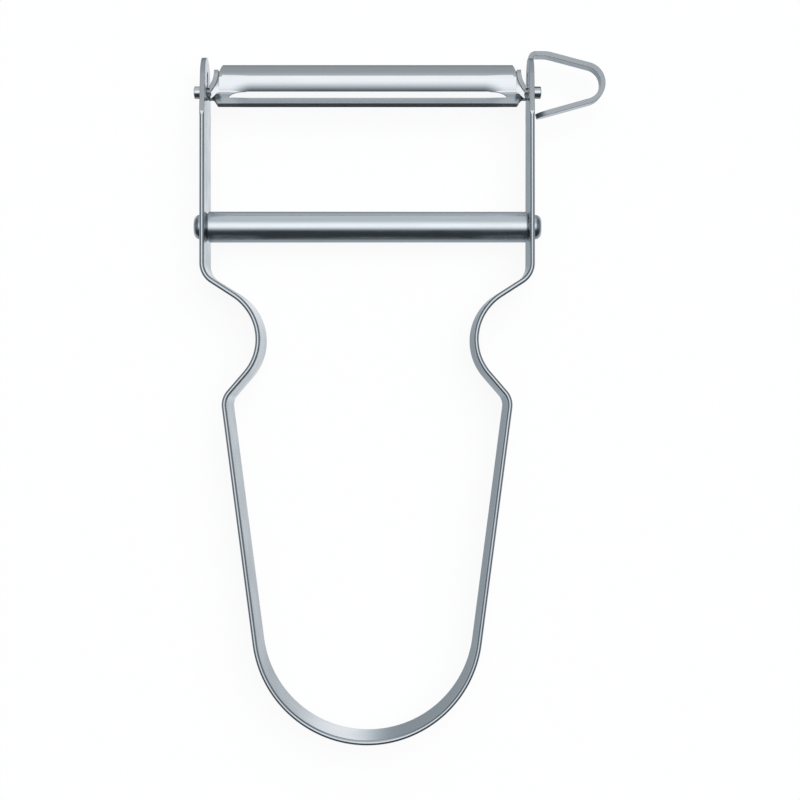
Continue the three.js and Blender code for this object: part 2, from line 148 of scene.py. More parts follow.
overhead = maths(tree, "ADD", eased(onward, ceiling["behind"], (0, ceiling["level"])),
                 eased(onward, far_wall["beyond"], (0, -far_wall["drop"])))
narrowed = maths(tree, "MULTIPLY", overhead, eased(sidelong, ceiling["aside"], (1, ceiling["side_share"])))
above = maths(tree, "ADD", narrowed, dark_room)
across = maths(tree, "MULTIPLY", eased(rightward, pool["left"], (0, pool["level"])),
               eased(rightward, pool["right"], (1, 0)))
lengthways = maths(tree, "MULTIPLY", eased(onward, pool["behind"], (0, 1)),
                   eased(onward, pool["beyond"], (1, 0)))
beneath = maths(tree, "ADD", maths(tree, "MULTIPLY", across, lengthways), ground["under"])
fore_and_aft = eased(onward, ground_edge["onward"], (ground["behind"], ground["beyond"]))
around = eased(sidelong, ground_edge["aside"], (fore_and_aft, ground["sides"]))
below = eased(skyward, ground_edge["steep"], (beneath, around))
level = eased(skyward, horizon, (above, below))

# Inputs 7 to 10 are the span and the levels of a Map Range node that maps vectors
tint = add_node(tree, "ShaderNodeMapRange", {"Vector": level, 7: (dim,) * 3, 8: (bright,) * 3, 9: dim_tint,
                                             10: bright_tint}, data_type="FLOAT_VECTOR")
room = add_node(tree, "ShaderNodeBackground", {"Color": tint.outputs["Vector"], "Strength": level})
backdrop = add_node(tree, "ShaderNodeBackground", {"Color": pure_white, "Strength": 1.0})
path = add_node(tree, "ShaderNodeLightPath").outputs
surface = add_node(tree, "ShaderNodeMixShader", {0: path["Is Camera Ray"], 1: room.outputs[0],
                                                 2: backdrop.outputs[0]})
add_node(tree, "ShaderNodeOutputWorld", {"Surface": surface.outputs[0]})


# Frame strip. One stainless strip with rolled, rounded edges, bent cold into handle, grip notches,
# shoulders and arms. Its blanked ends are the two pierced heads and the tongue of the eye cutter.
strip_low, strip_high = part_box("frame_strip")
strip_width = strip_high.z - strip_low.z
mid_height = (strip_low.z + strip_high.z) / 2
strip_thickness = 0.8 * MM
rolled_radius = 0.38 * MM
sheared_radius = 0.06 * MM
pivot = Vector(frame["joints"][0]["pos_m"])
arm_gap = 52 * MM
arm_centre = (arm_gap + strip_thickness) / 2
handle_end_radius = 17.9 * MM
shoulder = (23 * MM, 76.8 * MM, 3.4 * MM)
grip_notch = (25.8 * MM, 64.5 * MM, 8.5 * MM)
hip = (19.8 * MM, 54 * MM, 2.9 * MM)
leg_lean = math.radians(1.9)
lean_grows = (2 * MM, 16 * MM)
lean_fades = (70 * MM, 78 * MM)
head_start = 101 * MM
head_edge_run_out = 0.6 * MM
head_nose_radius = 4 * MM
head_nose_centre = 106.35 * MM
keyhole_bore = 2.2 * MM
keyhole_slit = 1.6 * MM
keyhole_top = 108.1 * MM
rivet_hole = 3.2 * MM
last_nose_angle = math.radians(87)
nose_steps = 28
tongue_root_width = 3.2 * MM
tongue_tip_width = 2.7 * MM
tongue_tip_length = 2.2 * MM
tongue_bend_radius = 0.8 * MM
tongue_ease = (28.4 * MM, 5 * MM)
eye_nose = (35.1 * MM, 106.1 * MM, 3 * MM)
eye_tip = (27.3 * MM, 100.8 * MM)
arc_step = math.radians(2.5)


def bent_line(formers):
    """Points and headings of a strip led round formers (x, y, radius, turn) as a belt past pulleys."""
    headings = []
    for (x1, y1, r1, t1), (x2, y2, r2, t2) in zip(formers, formers[1:]):
        bearing = math.atan2(y2 - y1, x2 - x1)
        headings.append(bearing - math.asin((t2 * r2 - t1 * r1) / math.hypot(x2 - x1, y2 - y1)))
    line = [(*formers[0][:2], headings[0])]
    for (x, y, radius, turn), before, after in zip(formers[1:], headings, headings[1:]):
        sweep = (turn * (after - before)) % (2 * math.pi)
        steps = math.ceil(sweep / arc_step)
        for step in range(steps + 1):
            heading = before + turn * sweep * step / steps
            reach = turn * radius
            line.append((x + reach * math.sin(heading), y - reach * math.cos(heading), heading))
    line.append((*formers[-1][:2], headings[-1]))
    return line


def mix(first, last, share):
    return first + (last - first) * share


def head_outline(last_angle):
    """Heights along the arm and half widths of a head, from the full strip round its nose."""
    reach = math.hypot(strip_width / 2, head_nose_centre - head_start)
    bearing = math.atan2(strip_width / 2, head_nose_centre - head_start)
    first_angle = bearing - math.asin(head_nose_radius / reach)
    outline = [(head_start, strip_width / 2)]
    for step in range(nose_steps + 1):
        angle = mix(first_angle, last_angle, step / nose_steps)
        outline.append((head_nose_centre + head_nose_radius * math.sin(angle),
                        head_nose_radius * math.cos(angle)))
    return outline


right_bends = [(*hip, 1), (*grip_notch, -1), (*shoulder, 1)]
left_bends = [(-x, y, radius, turn) for x, y, radius, turn in reversed(right_bends)]
full_width_end = head_start - head_edge_run_out
up = math.pi / 2
left_head = reversed(head_outline(last_nose_angle))
stations = [(-arm_centre, y, -up, half, sheared_radius) for y, half in left_head]
stations += [(x, y, heading, strip_width / 2, rolled_radius) for x, y, heading in bent_line([
    (-arm_centre, full_width_end, 0, 1),
    *left_bends,
    (0, handle_end_radius, handle_end_radius, 1),
    *right_bends,
    (arm_centre, full_width_end, 0, 1),
])]
root_angle = math.acos(tongue_root_width / 2 / head_nose_radius)
stations += [(arm_centre, y, up, half, sheared_radius) for y, half in head_outline(root_angle)]
root = head_nose_centre + head_nose_radius * math.sin(root_angle)
crest = root + tongue_bend_radius
tongue = bent_line([
    (arm_centre, root - tongue_bend_radius, 0, 1),
    (arm_centre + tongue_bend_radius, root, tongue_bend_radius, -1),
    (tongue_ease[0], crest - tongue_ease[1], tongue_ease[1], -1),
    (*eye_nose, -1),
    (*eye_tip, 0, 1),
])[2:]
tip_x, tip_y, tip_heading = tongue.pop()
for step, (x, y, heading) in enumerate(tongue):
    half = mix(tongue_root_width, tongue_tip_width, step / len(tongue)) / 2
    stations.append((x, y, heading, half, sheared_radius))
for step in range(nose_steps + 1):
    angle = last_nose_angle * step / nose_steps
    back = tongue_tip_length * (1 - math.sin(angle))
    stations.append((tip_x - back * math.cos(tip_heading), tip_y - back * math.sin(tip_heading), tip_heading,
                     tongue_tip_width / 2 * math.cos(angle), sheared_radius))


def outline_object(name, points, closed, **values):
    """A line of points that carries a value, or a vector, at each point."""
    mesh = bpy.data.meshes.new(name)
    edges = [(i, i + 1) for i in range(len(points) - 1)]
    if closed:
        edges.append((len(points) - 1, 0))
    mesh.from_pydata(points, edges, [])
    for key, listed in values.items():
        is_vector = isinstance(listed[0], (tuple, Vector))
        layer = mesh.attributes.new(key, "FLOAT_VECTOR" if is_vector else "FLOAT", "POINT")
        for item, value in zip(layer.data, listed):
            if is_vector:
                item.vector = value
            else:
                item.value = value
    line = bpy.data.objects.new(name, mesh)
    scene.collection.objects.link(line)
    return line


def slant_at(y):
    """Outward slant of the strip's walls, none at the handle's round end and none from the arms on."""
    grown = (y - lean_grows[0]) / (lean_grows[1] - lean_grows[0])
    left = (lean_fades[1] - y) / (lean_fades[1] - lean_fades[0])
    return math.tan(leg_lean) * max(0, min(1, grown, left))


frame_strip = outline_object(
    "steel_frame_strip", [(x, y, mid_height) for x, y, *_ in stations], False,
    side=[(-math.sin(heading), math.cos(heading), 0.0) for _, _, heading, _, _ in stations],
    half_width=[half for *_, half, _ in stations],
    lean=[slant_at(y) for _, y, *_ in stations],
    edge_radius=[radius for *_, radius in stations],
)

# Around the strip's section each point has a share of the flats (x over the thickness, y over the
# width) and a place on its corner's round. The points beside the corners keep the broad faces flat.
corner_steps = 6
beside_face = 0.985
beside_edge = 0.8
flats, rounds = [], []
for corner, (x, y) in enumerate(((1, 1), (-1, 1), (-1, -1), (1, -1))):
    first = corner * math.pi / 2
    ahead = (x, y * beside_face, x, 0) if corner % 2 == 0 else (x * beside_edge, y, 0, y)
    behind = (x * beside_edge, y, 0, y) if corner % 2 == 0 else (x, y * beside_face, x, 0)
    flats.append((*ahead[:2], 0))
    rounds.append((*ahead[2:], 0))
    for step in range(corner_steps + 1):
        angle = first + math.pi / 2 * step / corner_steps
        flats.append((x, y, 0))
        rounds.append((math.cos(angle), math.sin(angle), 0))
    flats.append((*behind[:2], 0))
    rounds.append((*behind[2:], 0))
strip_section = outline_object("strip_section", [(fx + rx, fy + ry, 0) for (fx, fy, _), (rx, ry, _)
                                                 in zip(flats, rounds)], True, flat=flats, round=rounds)


def new_tree(name, **sizes):
    """A Geometry Nodes tree with a geometry in and out and the named sizes as inputs."""
    tree = bpy.data.node_groups.new(name, "GeometryNodeTree")
    tree.interface.new_socket("Geometry", in_out="INPUT", socket_type="NodeSocketGeometry")
    for label, kind in sizes.items():
        tree.interface.new_socket(label, in_out="INPUT", socket_type=f"NodeSocket{kind}")
    tree.interface.new_socket("Geometry", in_out="OUTPUT", socket_type="NodeSocketGeometry")
    return tree, tree.nodes.new("NodeGroupInput").outputs


def named(tree, name, kind="FLOAT"):
    return add_node(tree, "GeometryNodeInputNamedAttribute", {"Name": name}, data_type=kind).outputs[0]


crisp_angle = math.radians(32)


def finish_tree(tree, geometry, steel):
    """Smooth faces with crisp corners, real geometry and the piece's steel."""
    smooth = add_node(tree, "GeometryNodeSetShadeSmooth", {"Geometry": geometry, "Shade Smooth": True})
    bend = add_node(tree, "GeometryNodeInputMeshEdgeAngle")
    crisp = add_node(tree, "FunctionNodeCompare", {0: bend.outputs[0], 1: crisp_angle},
                     operation="GREATER_THAN")
    corners = add_node(tree, "GeometryNodeSetShadeSmooth", {"Geometry": smooth.outputs[0],
                                                            "Selection": crisp.outputs[0],
                                                            "Shade Smooth": False}, domain="EDGE")
    real = add_node(tree, "GeometryNodeRealizeInstances", {"Geometry": corners.outputs[0]})
    finished = add_node(tree, "GeometryNodeSetMaterial", {"Geometry": real.outputs[0], "Material": steel})
    out = tree.nodes.new("NodeGroupOutput")
    tree.links.new(finished.outputs[0], out.inputs[0])


def grow(piece, tree, **sizes):
    """Runs a tree on a piece's outline and keeps the result as the piece's plain mesh."""
    modifier = piece.modifiers.new(tree.name, "NODES")
    modifier.node_group = tree
    for item in tree.interface.items_tree:
        if item.in_out == "INPUT" and item.name in sizes:
            modifier[item.identifier] = sizes[item.name]
    depsgraph = bpy.context.evaluated_depsgraph_get()
    mesh = bpy.data.meshes.new_from_object(piece.evaluated_get(depsgraph), preserve_all_data_layers=True,
                                           depsgraph=depsgraph)
    piece.modifiers.clear()
    piece.data = mesh


strip_tree, given = new_tree("bent_strip", Section="Object", Thickness="Float", Pivot="Vector",
                             Rivet="Vector", Bore="Float", Slit="Float", SlitTop="Float",
                             RivetHole="Float", Arm="Float", Steel="Material")
path_line = add_node(strip_tree, "GeometryNodeMeshToCurve", {0: given["Geometry"]})
section = add_node(strip_tree, "GeometryNodeObjectInfo", {"Object": given["Section"]})
section_line = add_node(strip_tree, "GeometryNodeMeshToCurve", {0: section.outputs["Geometry"]})
kept_place = add_node(strip_tree, "GeometryNodeStoreNamedAttribute", {
    "Geometry": path_line.outputs[0], "Name": "centre",
    "Value": add_node(strip_tree, "GeometryNodeInputPosition").outputs[0]}, data_type="FLOAT_VECTOR")
skin = add_node(strip_tree, "GeometryNodeCurveToMesh", {"Curve": kept_place.outputs[0],
                                                        "Profile Curve": section_line.outputs[0],
                                                        "Fill Caps": True})
flat = add_node(strip_tree, "ShaderNodeSeparateXYZ", {0: named(strip_tree, "flat", "FLOAT_VECTOR")})
rounding = add_node(strip_tree, "ShaderNodeSeparateXYZ", {0: named(strip_tree, "round", "FLOAT_VECTOR")})
radius = named(strip_tree, "edge_radius")


def halved(value):
    return maths(strip_tree, "MULTIPLY", value, 0.5)


def section_reach(axis, half):
    """How far a point of the section lies from the strip's middle, over the thickness or the width."""
    straight = maths(strip_tree, "MULTIPLY", flat.outputs[axis], maths(strip_tree, "SUBTRACT", half, radius))
    return maths(strip_tree, "ADD", straight, maths(strip_tree, "MULTIPLY", rounding.outputs[axis], radius))


height = section_reach("Y", named(strip_tree, "half_width"))
leant = maths(strip_tree, "SUBTRACT", section_reach("X", halved(given["Thickness"])),
              maths(strip_tree, "MULTIPLY", named(strip_tree, "lean"), height))
sideways = add_node(strip_tree, "ShaderNodeVectorMath", {0: named(strip_tree, "side", "FLOAT_VECTOR"),
                                                         "Scale": leant}, operation="SCALE")
upward = add_node(strip_tree, "ShaderNodeCombineXYZ", {"Z": height})
reach = add_node(strip_tree, "ShaderNodeVectorMath", {0: sideways.outputs[0], 1: upward.outputs[0]})
place = add_node(strip_tree, "ShaderNodeVectorMath", {0: reach.outputs[0],
                                                      1: named(strip_tree, "centre", "FLOAT_VECTOR")})
bent = add_node(strip_tree, "GeometryNodeSetPosition", {"Geometry": skin.outputs[0],
                                                        "Position": place.outputs[0]})

# Piercings, the same in both arms: the keyhole's bore and slit in the head, and the rivet's hole
cut_through = 4 * MM
round_sides = 96


def pierced(radius_socket, centre_socket):
    drum = add_node(strip_tree, "GeometryNodeMeshCylinder", {"Vertices": round_sides, "Radius": radius_socket,
                                                             "Depth": cut_through})
    return add_node(strip_tree, "GeometryNodeTransform", {"Geometry": drum.outputs[0],
                                                          "Translation": centre_socket,
                                                          "Rotation": (0, math.pi / 2, 0)}).outputs[0]


def vector(**shares):
    return add_node(strip_tree, "ShaderNodeCombineXYZ", shares).outputs[0]


def above_pivot(run):
    return add_node(strip_tree, "ShaderNodeVectorMath", {0: given["Pivot"], 1: vector(Y=run)}).outputs[0]


half_slit = halved(given["Slit"])
slit_run = maths(strip_tree, "SUBTRACT", given["SlitTop"], half_slit)
slit_size = vector(X=cut_through, Y=slit_run, Z=given["Slit"])
slit_block = add_node(strip_tree, "GeometryNodeMeshCube", {"Size": slit_size})
slit = add_node(strip_tree, "GeometryNodeTransform", {"Geometry": slit_block.outputs[0],
                                                      "Translation": above_pivot(halved(slit_run))})
punches = add_node(strip_tree, "GeometryNodeJoinGeometry")
for punch in (pierced(halved(given["Bore"]), given["Pivot"]), pierced(half_slit, above_pivot(slit_run)),
              slit.outputs[0], pierced(halved(given["RivetHole"]), given["Rivet"])):
    strip_tree.links.new(punch, punches.inputs[0])
arm_places = add_node(strip_tree, "GeometryNodeMeshLine", {
    "Count": 2, "Start Location": vector(X=maths(strip_tree, "MULTIPLY", given["Arm"], -1)),
    "Offset": vector(X=given["Arm"])}, mode="END_POINTS")
both_arms = add_node(strip_tree, "GeometryNodeInstanceOnPoints", {"Points": arm_places.outputs[0],
                                                                  "Instance": punches.outputs[0]})
cutters = add_node(strip_tree, "GeometryNodeRealizeInstances", {0: both_arms.outputs[0]})


def mark_dull(geometry, share):
    return add_node(strip_tree, "GeometryNodeStoreNamedAttribute", {"Geometry": geometry, "Name": "dull",
                                                                    "Value": share}, domain="FACE").outputs[0]


edge_facing = 0.9
blanked = maths(strip_tree, "LESS_THAN", radius, (rolled_radius + sheared_radius) / 2)
narrow = maths(strip_tree, "GREATER_THAN", maths(strip_tree, "ABSOLUTE", rounding.outputs["Y"]), edge_facing)
sheared_strip = mark_dull(bent.outputs[0], maths(strip_tree, "MULTIPLY", blanked, narrow))
sheared_holes = mark_dull(cutters.outputs[0], 1.0)
holed = add_node(strip_tree, "GeometryNodeMeshBoolean", {"Mesh 1": sheared_strip, "Mesh 2": sheared_holes,
                                                         "Self Intersection": True}, operation="DIFFERENCE",
                 solver="EXACT")
finish_tree(strip_tree, holed.outputs[0], given["Steel"])


def brushed_steel(name, colour, roughness, lines, depth):
    """Stainless steel with fine polishing lines and faint clouds in its shine, matt and darker where it is
    marked dull. The darkening is the grey of sheared edges, and painted shade on the blade's wing top.
    """
    dull_and_painted_shade_tone, dull_roughness = 0.75, 0.42
    lines_span, clouds_span = (0.3, 0.7), (0.35, 0.65)
    steel = bpy.data.materials.new(name)
    steel.use_nodes = True
    tree = steel.node_tree
    shader = tree.nodes["Principled BSDF"]
    shader.inputs["Metallic"].default_value = 1.0
    place = add_node(tree, "ShaderNodeTexCoord").outputs["Object"]
    drawn_out = add_node(tree, "ShaderNodeMapping", {"Vector": place, "Scale": lines})
    brushing = add_node(tree, "ShaderNodeTexNoise", {"Vector": drawn_out.outputs[0], "Scale": 1.0,
                                                     "Detail": 4.0, "Roughness": 0.6}).outputs["Fac"]
    clouds = add_node(tree, "ShaderNodeTexNoise", {"Vector": place, "Scale": 160.0,
                                                   "Detail": 3.0}).outputs["Fac"]
    dull = add_node(tree, "ShaderNodeAttribute", attribute_name="dull").outputs["Fac"]
    tone = ranged(tree, brushing, lines_span, (0.94, 1.04))
    # Marked faces are painted darker: the grey of sheared edges, and painted shade on the blade's wing top
    tone_with_painted_shade = ranged(tree, dull, (0, 1), (tone, dull_and_painted_shade_tone))
    tint = add_node(tree, "ShaderNodeVectorMath", {0: colour, "Scale": tone_with_painted_shade}, operation="SCALE")
    tree.links.new(tint.outputs[0], shader.inputs["Base Color"])
    streaked = ranged(tree, brushing, lines_span, (roughness * 0.8, roughness * 1.2))
    clouded = ranged(tree, clouds, clouds_span, (0.9, 1.12))
    shine = maths(tree, "MULTIPLY", streaked, clouded)
    tree.links.new(ranged(tree, dull, (0, 1), (shine, dull_roughness)), shader.inputs["Roughness"])
    relief = add_node(tree, "ShaderNodeBump", {"Height": brushing, "Strength": 0.5, "Distance": depth})
    tree.links.new(relief.outputs[0], shader.inputs["Normal"])
    return steel


spacer_low, spacer_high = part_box("spacer_tube")
spacer_middle = (spacer_low + spacer_high) / 2
spacer_axis = Vector((0, spacer_middle.y, spacer_middle.z))
strip_steel = brushed_steel("strip_steel", (0.60, 0.625, 0.645), 0.22, (60, 60, 9000), 0.4e-6)
grow(frame_strip, strip_tree, Section=strip_section, Thickness=strip_thickness, Pivot=(0, pivot.y, pivot.z),
     Rivet=spacer_axis, Bore=keyhole_bore, Slit=keyhole_slit, SlitTop=keyhole_top - pivot.y,
     RivetHole=rivet_hole, Arm=arm_centre, Steel=strip_steel)
bpy.data.objects.remove(strip_section)
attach(frame_strip, "frame")
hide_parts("frame_strip")


# Spacer tube. A piece of drawn stainless tube, cut off square and chamfered on the lathe. It holds the
# arms apart and is clamped between them by the rivet that runs through it.
spacer_radius = (spacer_high.z - spacer_low.z) / 2
spacer_chamfer = 0.3 * MM
tube_bore = rivet_hole / 2
weld_gap = 0.001 * MM
turned_tree, given = new_tree("turned", Sides="Int", Axis="Vector", Steel="Material")
profile = add_node(turned_tree, "GeometryNodeMeshToCurve", {0: given["Geometry"]})
ring = add_node(turned_tree, "GeometryNodeCurvePrimitiveCircle", {"Resolution": given["Sides"],
                                                                  "Radius": 1.0})
kept_ring = add_node(turned_tree, "GeometryNodeStoreNamedAttribute", {
    "Geometry": ring.outputs[0], "Name": "round",
    "Value": add_node(turned_tree, "GeometryNodeInputPosition").outputs[0]}, data_type="FLOAT_VECTOR")
swept = add_node(turned_tree, "GeometryNodeCurveToMesh", {"Curve": kept_ring.outputs[0],
                                                          "Profile Curve": profile.outputs[0]})
outward = add_node(turned_tree, "ShaderNodeVectorMath", {
    0: named(turned_tree, "round", "FLOAT_VECTOR"), "Scale": named(turned_tree, "reach")}, operation="SCALE")
turn = add_node(turned_tree, "ShaderNodeSeparateXYZ", {0: outward.outputs[0]})
spun = add_node(turned_tree, "ShaderNodeCombineXYZ", {
    "X": named(turned_tree, "along"), "Y": turn.outputs["Y"], "Z": turn.outputs["X"]})
on_axis = add_node(turned_tree, "ShaderNodeVectorMath", {0: spun.outputs[0], 1: given["Axis"]})
turned = add_node(turned_tree, "GeometryNodeSetPosition", {"Geometry": swept.outputs[0],
                                                           "Position": on_axis.outputs[0]})
closed = add_node(turned_tree, "GeometryNodeMergeByDistance", {"Geometry": turned.outputs[0],
                                                               "Distance": weld_gap})
finish_tree(turned_tree, closed.outputs[0], given["Steel"])


def turned_piece(name, profile_points, is_ring, axis, steel):
    """A profile of distances along the axis and radii, turned about an axis along X."""
    piece = outline_object(name, [(along, radius, 0) for along, radius in profile_points], is_ring,
                           along=[along for along, _ in profile_points],
                           reach=[radius for _, radius in profile_points])
    grow(piece, turned_tree, Sides=round_sides, Axis=axis, Steel=steel)
    return piece


tube_outline = [(-spacer_high.x, tube_bore),
                (-spacer_high.x, spacer_radius - spacer_chamfer),
                (-spacer_high.x + spacer_chamfer, spacer_radius)]
tube_outline += [(-along, radius) for along, radius in reversed(tube_outline)]
tube_steel = brushed_steel("spacer_steel", (0.68, 0.705, 0.725), 0.22, (60, 6000, 6000), 0.4e-6)
spacer_tube = turned_piece("steel_spacer_tube", tube_outline, True, spacer_axis, tube_steel)
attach(spacer_tube, "frame")
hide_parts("spacer_tube")


# Rivet. A stainless rivet through the tube and both arms. Each end is headed over cold to a rounded,
# flat-topped button that draws the arms against the tube.
rivet_low, rivet_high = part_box("spacer_rivet")
rivet_shank = 1.5 * MM
head_rim = (rivet_high.z - rivet_low.z) / 2
head_round = 1 * MM
head_edge = 0.05 * MM
head_gap = 0.02 * MM
head_steps = 8
face_share = 0.9
head_seat = arm_gap / 2 + strip_thickness + head_gap
button = [(head_seat, rivet_shank), (head_seat, head_rim - head_edge), (head_seat + head_edge, head_rim)]
for step in range(head_steps + 1):
    angle = math.pi / 2 * step / head_steps
    button.append((rivet_high.x - head_round * (1 - math.sin(angle)),
                   head_rim - head_round * (1 - math.cos(angle))))
button += [(rivet_high.x, (head_rim - head_round) * face_share), (rivet_high.x, 0)]
rivet_outline = [(-along, radius) for along, radius in reversed(button)] + button
rivet_steel = brushed_steel("rivet_steel", (0.60, 0.625, 0.645), 0.22, (2500, 2500, 2500), 0.4e-6)
spacer_rivet = turned_piece("steel_rivet", rivet_outline, False, spacer_axis, rivet_steel)
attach(spacer_rivet, "frame")
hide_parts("spacer_rivet")


# Blade. One stainless blank, slotted, ground along the slot's upper lip, pressed into a flat plate and
# a rounded wing that meet in a crease, and rolled up at its narrow ends into the two journals. A band along
# the wing's top is painted darker, a painted shade, and made rougher.
sheet = 0.7 * MM
plate_tip = Vector((-2.35, 1.73)) * MM
plate_heading = {"middle": math.radians(-52), "end": math.radians(-46)}
crease_radius = {"middle": 0.65 * MM, "end": 1.1 * MM}
wing_curve = {"middle": 1 / (5.45 * MM), "end": 1 / (10 * MM)}
form_change = {"start": 18.8 * MM, "end": 22.8 * MM}
wing_top = {"foot": Vector((2.84, -0.333)) * MM, "heading": math.radians(-4), "radius": 1.85 * MM,
            "turn": math.radians(63)}
# Above this height the wing's top is painted darker and rougher: a painted shade band
wing_top_painted_shade = 2.7 * MM
wing_top_ease = 0.2 * MM
plate_chamfer = {"start": 24.15 * MM, "end": 25.2 * MM}
plate_roll_edge = 1.0 * MM
top_chamfer_start = 23.62 * MM
fold = [Vector((24.12, 3.5)) * MM, Vector((24.16, 1.6)) * MM, Vector((25.6, 0.02)) * MM]
flange_bend = 0.45 * MM
flange_height = 1.1 * MM
neck_turn = {"start": 24.1 * MM, "end": 24.8 * MM}
neck_floor = {"start": 24.5 * MM, "end": 25.3 * MM, "width": 0.7 * MM}
roll_start = 25.6 * MM
roll_end = 25.95 * MM
roll_closing = 1.5
journal_diameter = 2 * MM
journal_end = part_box("blade")[1].x
journal_chamfer = 0.1 * MM
seam_angle = math.radians(14)
roll_radius = (journal_diameter - sheet) / 2
wing_roll_edge = roll_radius * (2 * math.pi - seam_angle) - plate_roll_edge


def point_along(runs, heading, distance):
    """Point on a line that leaves the origin and curves steadily through each run, and its heading there."""
    y = z = 0.0
    for length, curve in runs:
        step = min(distance, length)
        bend = curve * step
        chord = step if bend == 0 else 2 / curve * math.sin(bend / 2)
        y += chord * math.cos(heading + bend / 2)
        z += chord * math.sin(heading + bend / 2)
        heading += bend
        distance -= step
    return Vector((y, z)), heading


def between(x, start, end, first, last):
    return mix(first, last, min(max((x - start) / (end - start), 0), 1))


def pressed_form(x):
    """The pressed sheet: a crease between the plate's plane and the wing's round, softer near the ends."""
    share = between(x, form_change["start"], form_change["end"], 0, 1)
    plate, radius, curve = (mix(form["middle"], form["end"], share * share * (3 - 2 * share))
                            for form in (plate_heading, crease_radius, wing_curve))
    top = wing_top["heading"]
    wing_centre = wing_top["foot"] + Vector((math.sin(top), -math.cos(top))) / curve
    along = Vector((math.cos(plate), math.sin(plate)))
    start = plate_tip + Vector((-along.y, along.x)) * radius - wing_centre
    back = start.dot(along)
    plate_length = -back - math.sqrt(back * back - start.length_squared + (1 / curve + radius) ** 2)
    centre = start + along * plate_length
    wing_heading = math.atan2(-centre.x, centre.y)
    heading = (plate + wing_heading) / 2
    half = radius * (wing_heading - heading)
    middle = wing_centre + centre + Vector((math.sin(heading), -math.cos(heading))) * radius
    wing_runs = [(half, 1 / radius), ((wing_heading - top) / curve, -curve),
                 (wing_top["radius"] * wing_top["turn"], -1 / wing_top["radius"])]
    return middle, heading, plate, plate_length, wing_runs


crease_steps = 12
plate_steps = 20
wing_steps = 44
flange_steps = 24


def spread(start, end, steps):
    return [mix(start, end, (i + 1) / steps) for i in range(steps)]


def fold_at(share):
    """Place of the fold round the end: distance from the middle, height over the crease, outward angle."""
    first, second = fold[0].lerp(fold[1], min(share, 1)), fold[1].lerp(fold[2], min(share, 1))
    place = first.lerp(second, min(share, 1))
    angle = math.atan2(second.x - first.x, first.y - second.y)
    last = max(share - 1, 0)
    return mix(place.x, roll_end, last), mix(place.y, 0, last), mix(angle, math.pi / 2, last)


def sheet_line(x, share=None):
    """Middle line of the formed sheet from the plate's edge to the wing's, and on over the end's flange."""
    if share is not None:
        x, wing_reach, angle = fold_at(share)
    pressed, pressed_heading, plate, plate_length, wing_runs = pressed_form(x)
    half = wing_runs[0][0]
    turned = between(x, neck_turn["start"], neck_turn["end"], 0, 1)
    heading = mix(pressed_heading, 0, turned)
    rolled = between(x, roll_start, roll_end, 0, 1)
    closed = rolled ** roll_closing
    middle = pressed.lerp(Vector((0, -roll_radius)), rolled)

    plate_reach = between(x, plate_chamfer["start"], plate_chamfer["end"],
                          half + plate_length, plate_roll_edge)
    flat = between(x, neck_floor["start"], neck_floor["end"], 0, neck_floor["width"])
    plate_runs = [(flat, -closed / roll_radius), (half, (plate - heading) / half), (plate_length, 0)]
    bent = min(flat + half, plate_reach / 2)
    distances = spread(0, bent, crease_steps) + spread(bent, plate_reach, plate_steps)
    line = [point_along(plate_runs, heading + math.pi, distance)[0] for distance in reversed(distances)]

    if share is None:
        wing_edge = sum(length for length, _ in wing_runs)
        wing_reach = between(x, top_chamfer_start, fold[0].x, wing_edge, fold[0].y)
    wing_runs = [(length, curve * (1 - turned)) for length, curve in wing_runs]
    bent = min(half, wing_reach / 2)
    distances = [0] + spread(0, bent, crease_steps) + spread(bent, wing_reach, wing_steps)
    line += [point_along(wing_runs, heading, distance)[0] for distance in distances]
    line = [Vector((x, *(point + middle))) for point in line]
    if share is None:
        return line

    foot_heading = point_along(wing_runs, heading, wing_reach)[1]
    outward = Vector((math.cos(angle), math.sin(angle) * math.cos(foot_heading),
                      math.sin(angle) * math.sin(foot_heading)))
    upward = Vector((0, -math.sin(foot_heading), math.cos(foot_heading)))
    height = mix(flange_height, wing_roll_edge, rolled ** 2)
    bend = flange_bend * math.pi / 2
    flange_runs = [(bend, mix(1 / flange_bend, 1 / roll_radius, closed)),
                   (height - bend, closed / roll_radius)]
    foot = line[-1]
    for distance in spread(0, height, flange_steps):
        out, up = point_along(flange_runs, 0, distance)[0]
        line.append(foot + outward * out + upward * up)
    return line


def sheet_normals(line, inner, outer):
    """Directions square to the sheet along its middle line, out of its front."""
    normals = []
    for i in range(len(line)):
        along = line[min(i + 1, len(line) - 1)] - line[max(i - 1, 0)]
        normals.append((outer[i] - inner[i]).cross(along).normalized())
    return normals


opening_steps = 20
chamfer_steps = 8
neck_steps = 80
aside = 0.01 * MM
share_aside = 0.1 / neck_steps
half_rings = []
section_places = [mix(form_change["start"], form_change["end"], i / opening_steps)
                  for i in range(opening_steps + 1)]
section_places += [mix(top_chamfer_start, fold[0].x, i / chamfer_steps) for i in range(chamfer_steps)]
for x in section_places:
    line = sheet_line(x)
    half_rings.append((line, sheet_normals(line, sheet_line(x - aside), sheet_line(x + aside))))
for step in range(neck_steps):
    share = 2 * step / neck_steps
    line = sheet_line(0, share)
    inner = sheet_line(0, max(share - share_aside, 0))
    half_rings.append((line, sheet_normals(line, inner, sheet_line(0, share + share_aside))))
journal = sheet_line(0, 2)
ahead = Vector((1, 0, 0)) * aside
journal_normals = sheet_normals(journal, journal, [point + ahead for point in journal])
for x in (roll_end, journal_end - journal_chamfer, journal_end):
    line = [Vector((x, point.y, point.z)) for point in journal]
    half_rings.append((line, journal_normals))
points, rings = [], []
